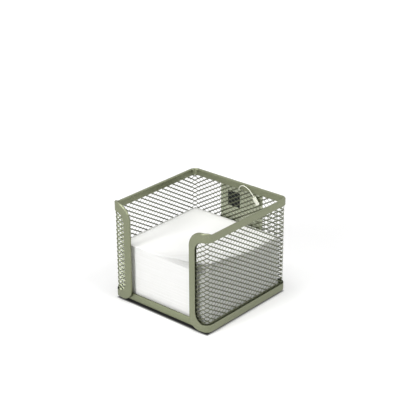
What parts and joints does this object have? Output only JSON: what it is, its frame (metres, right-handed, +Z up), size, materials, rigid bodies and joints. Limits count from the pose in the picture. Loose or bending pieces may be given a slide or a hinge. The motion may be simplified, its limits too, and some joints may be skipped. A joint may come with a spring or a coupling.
{
  "type": "memo cube holder",
  "caption": "Square open-topped desk holder of expanded steel mesh with bound edges and a wide finger opening in front, on a folded tray, with a stack of memo paper and a hang tag.",
  "frame": {"origin": "middle of the plan, on the desk under the feet", "axes": "+Z up, -Y out of the front finger opening, +X to the right seen from the front"},
  "size_m": [0.1, 0.1015, 0.0864],
  "materials": {
    "tray_paint": "satin silver-grey paint on folded steel sheet",
    "binding_paint": "satin silver-grey paint on folded steel strip",
    "mesh_paint": "satin silver-grey paint on expanded steel mesh",
    "foot_rubber": "matt black rubber pad",
    "memo_paper": "uncoated white memo paper",
    "tag_card": "plain matt card with a dark printed square",
    "tag_nylon": "milky moulded nylon"
  },
  "bodies": {
    "holder": {"base_tray": "tray_paint", "edge_binding": "binding_paint", "mesh_wrap": "mesh_paint", "foot_front_left": "foot_rubber", "foot_front_right": "foot_rubber", "foot_back_left": "foot_rubber", "foot_back_right": "foot_rubber", "tag_pin": "tag_nylon"},
    "memo_stack": {"memo_block": "memo_paper"},
    "top_sheets": {"loose_sheets": "memo_paper"},
    "tag": {"tag_card": "tag_card"}
  },
  "joints": [
    {"name": "memo_block_lift", "type": "slide", "parent": "holder", "child": "memo_stack", "axis": [0, 0, 1], "range_m": [0, 0.09]},
    {"name": "loose_sheets_lift", "type": "slide", "parent": "memo_stack", "child": "top_sheets", "axis": [0, 0, 1], "range_m": [0, 0.05]},
    {"name": "tag_swing", "type": "hinge", "parent": "holder", "child": "tag", "pos_m": [0.0013, 0.0505, 0.0773], "axis": [0, 1, 0], "range_deg": [-85, 85]}
  ]
}
